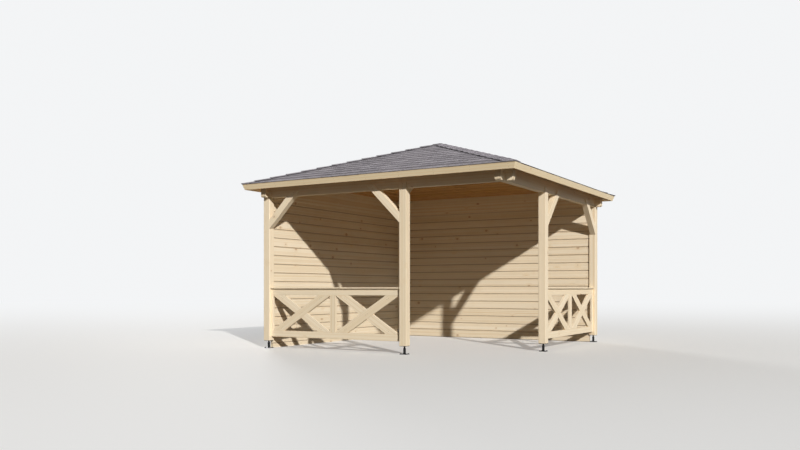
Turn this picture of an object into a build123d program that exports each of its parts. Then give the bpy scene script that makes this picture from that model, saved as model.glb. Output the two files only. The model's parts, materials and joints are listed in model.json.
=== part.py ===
from build123d import *
import math
import os

# Garden gazebo, 4 m square over the posts, with a low hipped roof.
# The front is -Y, the right side is +X, Z is up and the ground is Z = 0.
# Left and back are board walls, front and right have railings,
# and the front right corner is the way in, with no post.

# Plan and heights
side = 4000.0
post = 112.0
post_arris = 4.0
post_bottom = 117.0
entry = 1473.0
beam_underside = 2302.0

# Beams, halved over each other at the corners
beam_width = 90.0
beam_depth = 185.0
beam_end = 90.0
end_chamfer = 15.0
tongue_height = 78.0

# Braces
brace_leg = 475.0
brace_width = 100.0
brace_thickness = 90.0

# Board walls, let into grooves in the posts and set out from their inner faces
wall_thickness = 44.0
wall_inset = 22.0
groove_depth = 15.0

# Railings, centred under their caps, which are set out from the posts' inner faces
rail_cap_underside = 909.0
rail_cap_thickness = 20.0
rail_cap_width = 88.0
rail_cap_inset = 4.0
rail_cap_round = 5.0
rail_thickness = 34.0
top_rail_height = 95.0
bottom_rail_height = 96.0
bottom_rail_underside = 176.0
end_stile_width = 38.0
middle_stile_width = 100.0
cross_board_width = 120.0
cross_inset = 100.0

# Roof
pitch = 18.8
overhang = 230.0
eaves_plate_height = 77.0
roof_board = 19.0
fascia_thickness = 20.0
fascia_height = 86.0
shingle_layer = 9.0
shingle_drip = 8.0
hip_cap_layer = 5.0
hip_cap_wing = 125.0
hip_rafter_width = 45.0
hip_rafter_depth = 95.0
tail_clearance = 5.0
apex_block_size = 120.0
apex_block_drop = 60.0
apex_block_chamfer = 18.0

# Steel feet
foot_plate = 104.0
foot_head_inset = 6.0
foot_plate_thickness = 5.0
foot_tube_radius = 19.0
foot_tube_top = 70.0
foot_nut_height = 16.0
foot_nut_across = 36.0
foot_rod_radius = 12.0

# Places worked out from the sizes above
half = side / 2
recess = post - beam_width
beam_top = beam_underside + beam_depth
tongue_top = beam_underside + tongue_height
bay_left = -half + post
bay_right = half - entry - post
eave = half + overhang
slope = math.tan(math.radians(pitch))
sine = math.sin(math.radians(pitch))
cosine = math.cos(math.radians(pitch))
slope_length = (eave + post) / cosine
reach = eave + overhang
plate_top = beam_top + eaves_plate_height
eave_height = plate_top + roof_board / cosine - (overhang + recess) * slope
wall_outer = -half + post - wall_inset - wall_thickness
rail_middle = -half + post - rail_cap_inset - rail_cap_width / 2
rail_front = rail_middle - rail_thickness / 2
rail_back = rail_middle + rail_thickness / 2


def timber(x, y, z):
    """A squared timber between two limits along each axis."""
    centre = [(low + high) / 2 for low, high in (x, y, z)]
    size = [high - low for low, high in (x, y, z)]
    return Pos(*centre) * Box(*size)


def board(points, y):
    """A board cut to an outline in X and Z, between two limits along Y."""
    outline = Plane.XZ * Polygon(*points, align=None)
    thickness = y[1] - y[0]
    return Pos(0, y[0] + thickness / 2, 0) * extrude(outline, amount=thickness / 2, both=True)


def across(shape):
    """The same piece on the other side of the diagonal through the open corner."""
    diagonal = Plane(origin=(0, 0, 0), x_dir=(1, -1, 0), z_dir=(1, 1, 0))
    return mirror(shape, about=diagonal)


# Roof geometry


def slope_point(along, above):
    """Y and Z on the front slope, up from the eave and square to the roof boards."""
    y = -eave + along * cosine - above * sine
    z = eave_height + along * sine + above * cosine
    return y, z


def height_at(distance, above):
    """Height of a slope at a plan distance from the centre."""
    return eave_height + (eave - distance) * slope + above / cosine


def slope_layer(start, stop, low, high):
    """A layer of the front slope, mitred on the two hip lines."""
    corners = [
        slope_point(start, low),
        slope_point(stop, low),
        slope_point(stop, high),
        slope_point(start, high),
    ]
    sheet = extrude(Plane.YZ * Polygon(*corners, align=None), amount=reach, both=True)
    wedge = Polygon((0, 0), (-reach, -reach), (reach, -reach), align=None)
    return sheet & extrude(wedge, amount=2 * eave_height)


def gable():
    """What lies between the fascias' inner faces and under the roof boards."""
    tail_y, tail_z = slope_point(fascia_thickness, tail_clearance - fascia_height)
    edge_y, edge_z = slope_point(fascia_thickness, -roof_board)
    outline = [
        (tail_y, tail_z),
        (-tail_y, tail_z),
        (-edge_y, edge_z),
        (0, height_at(0, -roof_board)),
        (edge_y, edge_z),
    ]
    return extrude(Plane.YZ * Polygon(*outline, align=None), amount=reach, both=True)


def around(piece):
    """A piece of the front slope and its three turned copies, by side."""
    turns = {"front": 0, "right": 90, "back": 180, "left": 270}
    return {name: Rot(0, 0, turn) * piece for name, turn in turns.items()}


attic = gable() & (Rot(0, 0, 90) * gable())


# Walls


def left_wall():
    """Board wall on the ground, with tongues in the two posts' grooves."""
    x = (wall_outer, wall_outer + wall_thickness)
    clear = half - post
    face = timber(x, (-clear, clear), (0, beam_underside))
    housed = clear + groove_depth
    tongues = timber(x, (-housed, housed), (post_bottom, beam_underside))
    return face + tongues


# Posts


def standing_post(x, y, tongues):
    """A post with a seat cut for the beams, and tongues left standing in front of them."""
    column = timber((x, x + post), (y, y + post), (post_bottom, tongue_top))
    column = chamfer(column.edges().filter_by(Axis.Z), post_arris)
    seat_left = x + recess if "left" in tongues else x
    seat_front = y + recess if "front" in tongues else y
    seat_back = y + post - recess if "back" in tongues else y + post
    seat = timber((seat_left, x + post), (seat_front, seat_back), (beam_underside, tongue_top))
    return column - seat


def foot(x, y):
    """An adjustable steel foot: base plate, tube, nut, rod and head plate."""
    base = Pos(0, 0, foot_plate_thickness / 2) * Box(foot_plate, foot_plate, foot_plate_thickness)
    tube = Pos(0, 0, foot_tube_top / 2) * Cylinder(foot_tube_radius, foot_tube_top)
    hexagon = RegularPolygon(foot_nut_across / 2, 6, major_radius=False)
    nut = Pos(0, 0, foot_tube_top) * extrude(hexagon, amount=foot_nut_height)
    rod = Pos(0, 0, post_bottom / 2) * Cylinder(foot_rod_radius, post_bottom)
    head_z = post_bottom - foot_plate_thickness / 2
    head_side = post - 2 * foot_head_inset
    head = Pos(0, 0, head_z) * Box(head_side, head_side, foot_plate_thickness)
    return Pos(x, y, 0) * (base + tube + nut + rod + head)


# Beams


def roof_beam(y, keeps_top):
    """A beam along X whose right end projects, halved at both crossings."""
    body = timber((-half + recess, half + beam_end), (y, y + beam_width), (beam_underside, beam_top))
    lower_edge = body.edges().filter_by(Axis.Y).group_by(Axis.X)[-1].sort_by(Axis.Z)[0]
    body = chamfer(lower_edge, end_chamfer)
    middle = beam_underside + beam_depth / 2
    gap = (beam_underside, middle) if keeps_top else (middle, beam_top)
    for x in (-half + recess, half - post):
        body -= timber((x, x + beam_width), (y, y + beam_width), gap)
    return body


def eaves_plate():
    """The front plate between beam and roof boards, cut to the hip rafters."""
    y = (-half + recess, -half + post)
    plate = timber((-half, half), y, (beam_top, eave_height + beam_depth)) & attic
    shift = hip_rafter_width / math.sqrt(2)
    wedge = Polygon((0, -shift), (-reach, -reach - shift), (reach, -reach - shift), align=None)
    return plate & extrude(wedge, amount=2 * eave_height)


# Braces


def brace(x, direction):
    """A brace from a post's face at x to the front beam, with a lap on its face."""
    inner_leg = brace_leg - brace_width * math.sqrt(2)
    z = beam_underside
    body = [
        (x, z - brace_leg),
        (x + direction * brace_leg, z),
        (x + direction * inner_leg, z),
        (x, z - inner_leg),
    ]
    lap = [
        (x + direction * brace_leg, z),
        (x + direction * (brace_leg + tongue_height), z + tongue_height),
        (x + direction * (inner_leg + tongue_height), z + tongue_height),
        (x + direction * inner_leg, z),
    ]
    return board(body, (-half, -half + brace_thickness)) + board(lap, (-half, -half + recess))


# Railings


def cross_bays():
    """The two openings of the front railing, as limits along X and Z."""
    middle = (bay_left + bay_right) / 2
    z = (bottom_rail_underside + bottom_rail_height, rail_cap_underside - top_rail_height)
    left = (bay_left + end_stile_width, middle - middle_stile_width / 2)
    right = (middle + middle_stile_width / 2, bay_right - end_stile_width)
    return [(left, z), (right, z)]


def diagonal_band(bay, rising, y):
    """A straight board, longer than its bay, whose middle line ends beside two corners."""
    (x0, x1), (z0, z1) = bay
    angle = math.degrees(math.atan2(z1 - z0, x1 - x0 - 2 * cross_inset))
    middle = Pos((x0 + x1) / 2, (y[0] + y[1]) / 2, (z0 + z1) / 2)
    turn = Rot(0, -angle if rising else angle, 0)
    return middle * turn * Box(2 * (x1 - x0), y[1] - y[0], cross_board_width)


def cross_boards(rising):
    """The rising or the falling board of both crosses, halved where they meet."""
    full = (rail_front, rail_back)
    given = (rail_middle, rail_back) if rising else (rail_front, rail_middle)
    boards = []
    for bay in cross_bays():
        opening = timber(bay[0], full, bay[1])
        strip = diagonal_band(bay, rising, full) & opening
        boards.append(strip - diagonal_band(bay, not rising, given))
    return Part(children=boards)


def railing():
    """The pieces of the front railing between the front left and middle posts."""
    y = (rail_front, rail_back)
    cap_y = (rail_middle - rail_cap_width / 2, rail_middle + rail_cap_width / 2)
    cap_z = (rail_cap_underside, rail_cap_underside + rail_cap_thickness)
    low = (bottom_rail_underside, bottom_rail_underside + bottom_rail_height)
    high = (rail_cap_underside - top_rail_height, rail_cap_underside)
    rail_x = (bay_left + end_stile_width, bay_right - end_stile_width)
    full = (bottom_rail_underside, rail_cap_underside)
    (left_bay, between), (right_bay, _) = cross_bays()
    cap = timber((bay_left, bay_right), cap_y, cap_z)
    cap_edges = cap.faces().sort_by(Axis.Z)[-1].edges().filter_by(Axis.X)
    stiles = [
        timber((bay_left, rail_x[0]), y, full),
        timber((left_bay[1], right_bay[0]), y, between),
        timber((rail_x[1], bay_right), y, full),
    ]
    return {
        "cap": fillet(cap_edges, rail_cap_round),
        "bars": Part(children=[timber(rail_x, y, low), timber(rail_x, y, high)]),
        "stiles": Part(children=stiles),
        "rising_boards": cross_boards(True),
        "falling_boards": cross_boards(False),
    }


# Roof pieces


def hip_rafter(beams):
    """A rafter under the front right hip, notched over the beams."""
    start = apex_block_size / 2
    stop = eave * math.sqrt(2)
    low_start = height_at(start / math.sqrt(2), -roof_board) - hip_rafter_depth
    low_stop = height_at(eave, -roof_board) - hip_rafter_depth
    outline = [(start, low_start), (stop, low_stop), (stop, reach * 2), (start, reach * 2)]
    body = board(outline, (-hip_rafter_width / 2, hip_rafter_width / 2))
    rafter = (Rot(0, 0, -45) * body) & attic
    for beam in beams:
        rafter -= beam
    return rafter


def apex_block():
    """The square block that the four hip rafters meet."""
    low = height_at(0, -roof_board) - hip_rafter_depth - apex_block_drop
    height = height_at(0, 0) - low
    block = Pos(0, 0, low + height / 2) * Box(apex_block_size, apex_block_size, height)
    lower_edges = block.faces().sort_by(Axis.Z)[0].edges()
    return (Rot(0, 0, 45) * chamfer(lower_edges, apex_block_chamfer)) & attic


def hip_caps():
    """Caps that fold over the four hips and meet at the apex."""
    low = shingle_layer
    layer = slope_layer(-shingle_drip, slope_length, low, low + hip_cap_layer)
    tangent = slope * slope
    plan_half = hip_cap_wing * math.sqrt((2 + tangent) / (2 + 2 * tangent))
    band = Pos(0, 0, eave_height) * Box(4 * reach, 2 * plan_half, 2 * eave_height)
    hips = (Rot(0, 0, 45) * band) + (Rot(0, 0, -45) * band)
    wings = [Rot(0, 0, turn) * (layer & hips) for turn in (0, 90, 180, 270)]
    caps = wings[0]
    for wing in wings[1:]:
        caps += wing
    return caps


# The whole gazebo

pieces = {}

wall = left_wall()
pieces["left_wall"] = wall
pieces["back_wall"] = across(wall)

front_left = standing_post(-half, -half, ["left"]) - wall
front_middle = standing_post(bay_right, -half, ["front"])
pieces["front_left_post"] = front_left
pieces["front_middle_post"] = front_middle
pieces["right_front_post"] = across(front_middle)
pieces["back_right_post"] = across(front_left)
back_left = standing_post(-half, half - post, ["left", "back"])
pieces["back_left_post"] = back_left - wall - pieces["back_wall"]

for name in ("front_left", "front_middle", "right_front", "back_right", "back_left"):
    centre = pieces[name + "_post"].bounding_box().center()
    pieces[name + "_foot"] = foot(centre.X, centre.Y)

pieces["front_beam"] = roof_beam(-half + recess, True)
pieces["back_beam"] = roof_beam(half - post, True)
pieces["right_beam"] = across(roof_beam(-half + recess, False))
pieces["left_beam"] = across(roof_beam(half - post, False))

pieces["front_left_brace"] = brace(bay_left, 1)
pieces["front_middle_brace"] = brace(bay_right, -1)
pieces["right_front_brace"] = across(pieces["front_middle_brace"])
pieces["back_right_brace"] = across(pieces["front_left_brace"])

for name, piece in railing().items():
    pieces["front_railing_" + name] = piece
    pieces["right_railing_" + name] = across(piece)

plates = around(eaves_plate())
pieces["eaves_plates"] = Part(children=list(plates.values()))
first_rafter = hip_rafter([pieces["front_beam"], pieces["right_beam"]])
pieces["hip_rafters"] = Part(children=list(around(first_rafter).values()))
pieces["apex_block"] = apex_block()

deck = slope_layer(fascia_thickness, slope_length, -roof_board, 0)
fascia = slope_layer(0, fascia_thickness, -fascia_height, 0)
shingles = slope_layer(-shingle_drip, slope_length, 0, shingle_layer)
for name, piece in around(deck).items():
    pieces[name + "_roof_boards"] = piece
for name, piece in around(fascia).items():
    pieces[name + "_fascia"] = piece
for name, piece in around(shingles).items():
    pieces[name + "_shingles"] = piece
pieces["hip_caps"] = hip_caps()

os.makedirs("parts", exist_ok=True)
for name, piece in pieces.items():
    export_step(piece, "parts/" + name + ".step")
print(len(pieces), "pieces written")
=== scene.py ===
"""The looks of the garden gazebo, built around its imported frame."""

import json
import math
import random

import bmesh
import bpy
from mathutils import Matrix, Vector


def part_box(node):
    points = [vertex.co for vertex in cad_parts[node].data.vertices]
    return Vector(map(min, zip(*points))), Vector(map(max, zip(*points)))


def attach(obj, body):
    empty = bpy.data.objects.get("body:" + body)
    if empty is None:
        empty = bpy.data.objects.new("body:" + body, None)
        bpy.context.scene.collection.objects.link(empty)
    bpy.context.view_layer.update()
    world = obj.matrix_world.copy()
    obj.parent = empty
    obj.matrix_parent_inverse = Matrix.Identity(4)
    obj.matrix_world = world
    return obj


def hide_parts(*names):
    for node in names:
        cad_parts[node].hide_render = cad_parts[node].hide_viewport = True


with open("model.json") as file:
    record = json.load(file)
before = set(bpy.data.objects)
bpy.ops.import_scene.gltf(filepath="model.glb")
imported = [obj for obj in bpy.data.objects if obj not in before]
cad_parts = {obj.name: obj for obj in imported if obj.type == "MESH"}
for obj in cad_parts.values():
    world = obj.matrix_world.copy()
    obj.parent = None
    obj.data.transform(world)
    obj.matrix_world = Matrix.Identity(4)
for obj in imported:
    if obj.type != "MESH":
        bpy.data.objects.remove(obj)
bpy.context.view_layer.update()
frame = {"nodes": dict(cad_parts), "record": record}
nodes = frame["nodes"]
slots = {part["node"]: part["material_slot"] for part in frame["record"]["subparts"]}


# Sizes read from the frame, in metres: HALF of the post square, the thickness of the roof's DECK

post_low, post_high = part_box("front_middle_post")
POST = post_high.x - post_low.x
TONGUE_TOP = post_high.z
HALF = -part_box("front_left_post")[0].x
BEAM_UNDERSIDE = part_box("front_beam")[0].z
fascia_corner = min((v.co for v in nodes["front_fascia"].data.vertices), key=lambda p: p.y)
EAVE = -fascia_corner.y
EAVE_Z = fascia_corner.z
deck = nodes["front_roof_boards"].data
deck_normal = max((face.normal for face in deck.polygons), key=lambda n: n.z)
SINE = -deck_normal.y
COSINE = deck_normal.z
deck_heights = [deck_normal.dot(v.co) for v in deck.vertices]
DECK = max(deck_heights) - min(deck_heights)
SLOPE_LENGTH = EAVE / COSINE
TURNS = {"front": 0, "right": 90, "back": 180, "left": 270}

# Sizes of what the looks add, in metres, and their counts

# Eased edges, and what counts as one point, as flat and as a sharp edge
TIMBER_EASE = 0.003
FASCIA_EASE = 0.0015
STEEL_EASE = 0.0008
EASE_SEGMENTS = 2
WELD = 0.00002
SLIVER = 0.00001
FLAT_ANGLE = math.radians(1.0)
SHARP_ANGLE = math.radians(30)

# Boards of the walls and of the roof
WALL_COURSES = 17
JOINT_BEVEL = 0.0085
JOINT_GAP = 0.0023
JOINT_DEPTH = 0.011
BOARD_PLAY = 0.0004
ROOF_BOARD_COVER = 0.096

# Shingle tabs. Rows and columns divide a tab, the columns as shares of its width
TAB_PITCH = 0.3333
TAB_WIDTH = 0.326
TAB_LENGTH = 0.262
TAB_THICKNESS = 0.0034
TAB_BUTT = 0.0088
TAB_HEAD_GAP = 0.0004
TAB_CORNER = 0.005
COURSE = 0.184
FIRST_COURSE = 0.213
DRIP = 0.008
TAB_ROWS = (0.0, 0.004, 0.09, COURSE, TAB_LENGTH)
TAB_COLUMNS = (-0.5, -0.485, -0.17, 0.17, 0.485, 0.5)
TAB_SLIP = ((-0.0015, 0.0, 0.0), (0.0015, 0.003, 0.0002))
TAB_WAVE = 0.0012

# Hip caps of two plies and the apex cap, with the part of a tab's shading that they take
CAP_COUNT = 13
CAP_PITCH = 0.2467
FIRST_CAP = 0.052
CAP_LENGTH = 0.285
CAP_WING = 0.125
CAP_FOLD = 0.008
CAP_EDGE = 0.003
CAP_LOW = 0.0130
CAP_PLY = 0.0054
CAP_PLY_GAP = 0.0006
CAP_SETBACK = 0.006
CAP_SEAT = 0.0097
CAP_HEAD_PLY = 0.0006
CAP_HEAD_STEP = 0.0007
CAP_INSET = 0.0006
CAP_SHADE = (0.01, 0.4)
APEX_SHADE = 0.05
APEX_HALF = 0.085
APEX_LOW = 0.0148
APEX_THICKNESS = 0.0060
APEX_INSET = 0.0001

# Screws and nails, with their places as shares of a lap, of a brace or of a cross's arm
LAP_SCREWS = (0.3, 0.7)
BRACE_WIDTH = 0.100
BRACE_SCREWS = 0.15
MIDDLE_STILE = 0.100
CROSS_INSET = 0.100
CROSS_SCREWS = (-0.86, -0.80, -0.04, 0.04, 0.80, 0.86)
RAILING_CAP_SCREWS = 6
RAILING_CAP_END = 0.07
FASCIA_NAILS = 9
FASCIA_NAIL_END = 0.10
FASCIA_NAIL_ROWS = (0.022, 0.062)
DRIVE_DEPTH = 0.0014
DRIVE_POINTS = 0.52
DRIVE_HOLLOWS = 0.38
DRIVE_TAPER = 0.9

# Feet
FOOT_PLATE = 0.005
FOOT_NUT_TOP = 0.086
FOOT_ROD_RADIUS = 0.012
THREAD_PITCH = 0.003
THREAD_DEPTH = THREAD_PITCH * 0.32
BOLT_SPREAD = 0.038
WASHER_TOP = 0.0022

# Where a piece may start in the wood's pattern: along the grain, beside the pith and under it

TIMBER_GRAIN = ((0, 60), (-0.03, 0.03), (-0.09, -0.03))
TILED_GRAIN = ((0.0, -0.04, -0.09), (60.0, 0.04, -0.03))

# Timbers whose grain runs against their first longest edge

TURNED = ("back_left_post",)

# Spruce: how often a pattern changes in a metre along, across and through the grain, and its sizes

KNOT_CELLS = (5.0, 6.5, 3.0)
RING_WAVES = (0.9, 7.0, 7.0)
FIBRES = (9.0, 420.0, 420.0)
STAINS = (1.1, 5.0, 5.0)
SMALLEST_KNOT = 0.002
RING_WIDTH = 0.0036
RING_SWAY = 0.030
RING_BEND = 0.007
YEARS_WIDTH = 0.010
WOOD_RELIEF = 0.0005

# Felt, paint and zinc: grains in a metre, and from where to where a shade or a line fades

GRANULES = 330.0
FELT_RELIEF = 0.0012
COURSE_BAND = (COURSE - 0.055, COURSE - 0.012)
BUTT_LINE = (0.0002, 0.0012)
ABOVE_EAVES = (EAVE_Z + 0.02, EAVE_Z + 0.04)
PAINT_GRAIN = 700.0
PAINT_RELIEF = 0.0003
DUST_TOP = 0.03
ZINC_CLOUDS = 180.0
ZINC_RELIEF = 0.0002

# Seeds of the repeated pieces

WALL_SEED = 11
ROOF_SEED = 31
SHINGLE_SEEDS = (51, 58, 65, 72)
CAP_SEED = 91

# Floor and light. A lamp has its direction, strength, width in degrees and colour

FLOOR_RADIUS = 60.0
FLOOR_FADE = 13.0
AMBIENT = (1.0, 0.95, 0.87, 1.0)
AMBIENT_STRENGTH = 0.10
BACKGROUND = (0.90, 0.91, 0.92, 1.0)
LAMPS = {
    "key": ((-0.6965, 0.5945, -0.4019), 3.55, 1.2, (1.0, 0.97, 0.92)),
    "glow": ((-0.93, 0.26, -0.215), 0.12, 9.0, (0.78, 0.90, 1.0)),
    "fill": ((0.70, -0.70, -0.10), 2.6, 12.0, (0.97, 0.98, 1.0)),
}

# The camera's place found from the photograph, whose frame is 800 by 450 pixels

PHOTO_WIDTH = 800
PHOTO_HEIGHT = 450
FOCAL_PIXELS = 803
HORIZON_ROW = 288.3
CAMERA_PLACE = (6.065, -11.569, 0.915)
CAMERA_TURN = 30.49


def srgb(red, green, blue):
    """A colour given as 0 to 255 on a screen, as the linear values of a shader."""
    parts = [value / 255 for value in (red, green, blue)]
    linear = [p / 12.92 if p <= 0.04045 else ((p + 0.055) / 1.055) ** 2.4 for p in parts]
    return (*linear, 1.0)


KNOT = srgb(176, 126, 82)
KNOT_RIM = tuple(0.45 * part for part in KNOT[:3]) + (1.0,)
# Painted shade in the grooves of the boards' joints
PAINTED_GROOVE_SHADE = srgb(104, 70, 36)
# The band under each course: partly printed, partly painted shade under the next butt
COURSE_PRINT_AND_SHADE = srgb(80, 76, 80)
CUT_FELT = srgb(62, 58, 60)
FLOOR_SEEN = srgb(240, 239, 237)
FLOOR_IN_LIGHT = srgb(98, 84, 64)


# Node trees, for surfaces and for repeated shapes


class Value:
    """A socket of a node tree. Arithmetic on it adds Math nodes."""

    def __init__(self, builder, socket):
        self.builder = builder
        self.socket = socket

    def math(self, operation, *others):
        values = dict(enumerate((self, *others)))
        return self.builder.node("ShaderNodeMath", {"operation": operation}, values)

    def output(self, name):
        return Value(self.builder, self.socket.node.outputs[name])

    def __add__(self, other):
        return self.math("ADD", other)

    def __sub__(self, other):
        return self.math("SUBTRACT", other)

    def __rsub__(self, other):
        return self.math("MULTIPLY_ADD", -1.0, other)

    def __mul__(self, other):
        return self.math("MULTIPLY", other)

    def __truediv__(self, other):
        return self.math("DIVIDE", other)

    def __pow__(self, other):
        return self.math("POWER", other)

    def __rtruediv__(self, other):
        return self.math("POWER", -1.0) * other

    __radd__ = __add__
    __rmul__ = __mul__


class Builder:
    """A node tree under construction."""

    def __init__(self, tree):
        self.tree = tree

    def node(self, kind, settings=None, values=None, output=0):
        """Adds a node: its settings first, then the values or links of its sockets."""
        made = self.tree.nodes.new(kind)
        for name, value in (settings or {}).items():
            if name == "stops":
                self.set_stops(made.color_ramp, value)
            else:
                setattr(made, name, value)
        for name, value in (values or {}).items():
            if isinstance(value, Value):
                self.tree.links.new(value.socket, made.inputs[name])
            else:
                made.inputs[name].default_value = value
        return Value(self, made.outputs[output])

    def parts(self, vector):
        """The X, Y and Z of a vector."""
        x = self.node("ShaderNodeSeparateXYZ", {}, {0: vector})
        return x, x.output("Y"), x.output("Z")

    @staticmethod
    def set_stops(ramp, stops):
        """Gives a colour ramp its positions and colours."""
        while len(ramp.elements) < len(stops):
            ramp.elements.new(1.0)
        for element, (position, colour) in zip(ramp.elements, stops):
            element.position = position
            element.color = colour


class Surface(Builder):
    """A material with one Principled shader."""

    def __init__(self, name):
        self.material = bpy.data.materials.new(name)
        self.material.use_nodes = True
        super().__init__(self.material.node_tree)
        self.shader = self.tree.nodes["Principled BSDF"]

    def attribute(self, name, output):
        return self.node("ShaderNodeAttribute", {"attribute_name": name}, output=output)

    def point(self):
        """The point on the piece, in metres from the gazebo's origin."""
        return self.node("ShaderNodeTexCoord", output="Object")

    def scaled(self, vector, factors):
        settings = {"operation": "MULTIPLY"}
        return self.node("ShaderNodeVectorMath", settings, {0: vector, 1: factors})

    def noise(self, vector, detail):
        values = {"Vector": vector, "Scale": 1.0, "Detail": detail}
        return self.node("ShaderNodeTexNoise", {}, values)

    def cells(self, vector, scale):
        """The distance to the nearest of many points. Its Color differs from one to the next."""
        return self.node("ShaderNodeTexVoronoi", {}, {"Vector": vector, "Scale": scale})

    def bands(self, value):
        """Noise that changes with one number only."""
        settings = {"noise_dimensions": "1D"}
        return self.node("ShaderNodeTexNoise", settings, {"W": value, "Scale": 1.0, "Detail": 2.0})

    def step(self, value, start, stop):
        """0 before start, 1 after stop, and smooth between them."""
        values = {"Value": value, "From Min": start, "From Max": stop}
        return self.node("ShaderNodeMapRange", {"interpolation_type": "SMOOTHSTEP"}, values)

    def mix(self, factor, first, second):
        values = {0: factor, 6: first, 7: second}
        return self.node("ShaderNodeMix", {"data_type": "RGBA"}, values, 2)

    def toned(self, colour, saturation, value):
        values = {"Saturation": saturation, "Value": value, "Color": colour}
        return self.node("ShaderNodeHueSaturation", {}, values)

    def finish(self, colour, roughness, height, depth, constants=None):
        """Links what varies to the shader and sets what does not on its own sockets."""
        self.tree.links.new(colour.socket, self.shader.inputs["Base Color"])
        self.tree.links.new(roughness.socket, self.shader.inputs["Roughness"])
        normal = self.node("ShaderNodeBump", {}, {"Height": height, "Distance": depth})
        self.tree.links.new(normal.socket, self.shader.inputs["Normal"])
        for name, value in (constants or {}).items():
            self.shader.inputs[name].default_value = value
        return self.material


class Repeater(Builder):
    """A Geometry Nodes tree. Its inputs' names are given by kind, such as Int or Float."""

    def __init__(self, name, inputs):
        super().__init__(bpy.data.node_groups.new(name, "GeometryNodeTree"))
        face = self.tree.interface
        for kind, labels in {"Geometry": ["Geometry"], **inputs, "Material": ["Material"]}.items():
            for label in labels:
                face.new_socket(label, in_out="INPUT", socket_type="NodeSocket" + kind)
        face.new_socket("Geometry", in_out="OUTPUT", socket_type="NodeSocketGeometry")
        self.group_input = self.tree.nodes.new("NodeGroupInput")

    def input(self, name):
        return Value(self, self.group_input.outputs[name])

    def random(self, kind, low, high, seed):
        """A random number or vector for each element, from a fixed seed."""
        first, output = {"FLOAT_VECTOR": (0, 0), "FLOAT": (2, 1)}[kind]
        values = {first: low, first + 1: high, "Seed": seed}
        return self.node("FunctionNodeRandomValue", {"data_type": kind}, values, output)

    def store(self, geometry, name, value, kind="FLOAT_VECTOR", domain="POINT"):
        settings = {"data_type": kind, "domain": domain}
        values = {"Geometry": geometry, "Name": name, "Value": value}
        return self.node("GeometryNodeStoreNamedAttribute", settings, values)

    def named(self, name):
        settings = {"data_type": "FLOAT_VECTOR"}
        return self.node("GeometryNodeInputNamedAttribute", settings, {"Name": name})

    def vector(self, x, y, z):
        return self.node("ShaderNodeCombineXYZ", {}, {"X": x, "Y": y, "Z": z})

    def line(self, count, offset):
        return self.node("GeometryNodeMeshLine", {}, {"Count": count, "Offset": offset})

    def moved(self, geometry, **where):
        """Moves points by an Offset or to a Position."""
        return self.node("GeometryNodeSetPosition", {}, {"Geometry": geometry, **where})

    def instances(self, points, piece, **how):
        """Sets a piece on each point, with its own Scale or Rotation if one is given."""
        values = {"Points": points, "Instance": piece, **how}
        return self.node("GeometryNodeInstanceOnPoints", {}, values)

    def realized(self, instances):
        return self.node("GeometryNodeRealizeInstances", {}, {"Geometry": instances})

    def marked(self, instances, seed):
        """Gives each instance its own tone and its own stretch of grain, and realizes them."""
        tone = self.random("FLOAT", 0.0, 1.0, seed)
        shift = self.random("FLOAT_VECTOR", *TILED_GRAIN, seed)
        instances = self.store(instances, "tone", tone, "FLOAT", "INSTANCE")
        instances = self.store(instances, "shift", shift, "FLOAT_VECTOR", "INSTANCE")
        solid = self.realized(instances)
        values = {0: self.named("grain"), 1: self.named("shift")}
        shifted = self.node("ShaderNodeVectorMath", {"operation": "ADD"}, values)
        solid = self.store(solid, "grain", shifted)
        return self.node("GeometryNodeRemoveAttribute", {}, {"Geometry": solid, "Name": "shift"})

    def finish(self, geometry):
        """Ends the tree in Set Material."""
        values = {"Geometry": geometry, "Material": self.input("Material")}
        dressed = self.node("GeometryNodeSetMaterial", {}, values)
        end = self.tree.nodes.new("NodeGroupOutput")
        self.tree.links.new(dressed.socket, end.inputs["Geometry"])
        return self.tree


# Surfaces


def spruce(name, pale, warm, knots, contrast=1.0):
    """Planed spruce: growth rings about a pith, fine fibres, knots bending the rings, painted
    shade in joints.
    """
    s = Surface(name)
    grain = s.attribute("grain", "Vector")
    tone = s.attribute("tone", "Fac")
    end = s.attribute("end", "Fac")
    joint = s.attribute("joint", "Fac")
    _, across, depth = s.parts(grain)

    cell = s.cells(s.scaled(grain, KNOT_CELLS), 1.0)
    pick, _, _ = s.parts(cell.output("Color"))
    knot_radius = s.step(pick, 0.25, 1.0) * knots + SMALLEST_KNOT
    spread = cell / knot_radius
    knot = 1 - s.step(spread, 0.60, 1.15)
    rim = s.step(spread, 0.45, 0.85) * knot
    halo = 1 - s.step(spread, 0.9, 3.0)

    wobble = s.noise(s.scaled(grain, RING_WAVES), 3.0) - 0.5
    off_pith = across + wobble * RING_SWAY
    radius = (off_pith * off_pith + depth * depth) ** 0.5 + halo * RING_BEND
    ring = (radius / RING_WIDTH).math("FRACT") ** 3.0
    years = s.bands(radius / YEARS_WIDTH)
    fibre = s.noise(s.scaled(grain, FIBRES), 2.0)
    stain = s.noise(s.scaled(grain, STAINS), 2.0)

    warmth = (s.step(years, 0.35, 0.75) * 0.55 + ring * 0.22 + (fibre - 0.5) * 0.30) * contrast
    colour = s.mix(warmth, pale, warm)
    older = tone * 0.55 + s.step(stain, 0.45, 0.85) * 0.35
    colour = s.mix(older, colour, s.toned(colour, 1.12, 0.88))
    colour = s.mix(halo * 0.26, colour, warm)
    colour = s.mix(knot * 0.46, colour, KNOT)
    colour = s.mix(rim * 0.20, colour, KNOT_RIM)
    colour = s.mix(end * 0.75, colour, s.toned(colour, 1.18, 0.80))
    # The joints' bevels and gaps are darkened: painted shade in the grooves.
    painted_groove_shade = s.step(joint, 0.0, 0.5) * 0.22 + s.step(joint, 0.70, 1.0) * 0.36
    colour = s.mix(painted_groove_shade, colour, PAINTED_GROOVE_SHADE)

    roughness = 0.58 + fibre * 0.14 - ring * 0.06 - knot * 0.10
    height = fibre * 0.55 + ring * 0.30 - knot * 0.40
    return s.finish(colour, roughness, height, WOOD_RELIEF)


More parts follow.
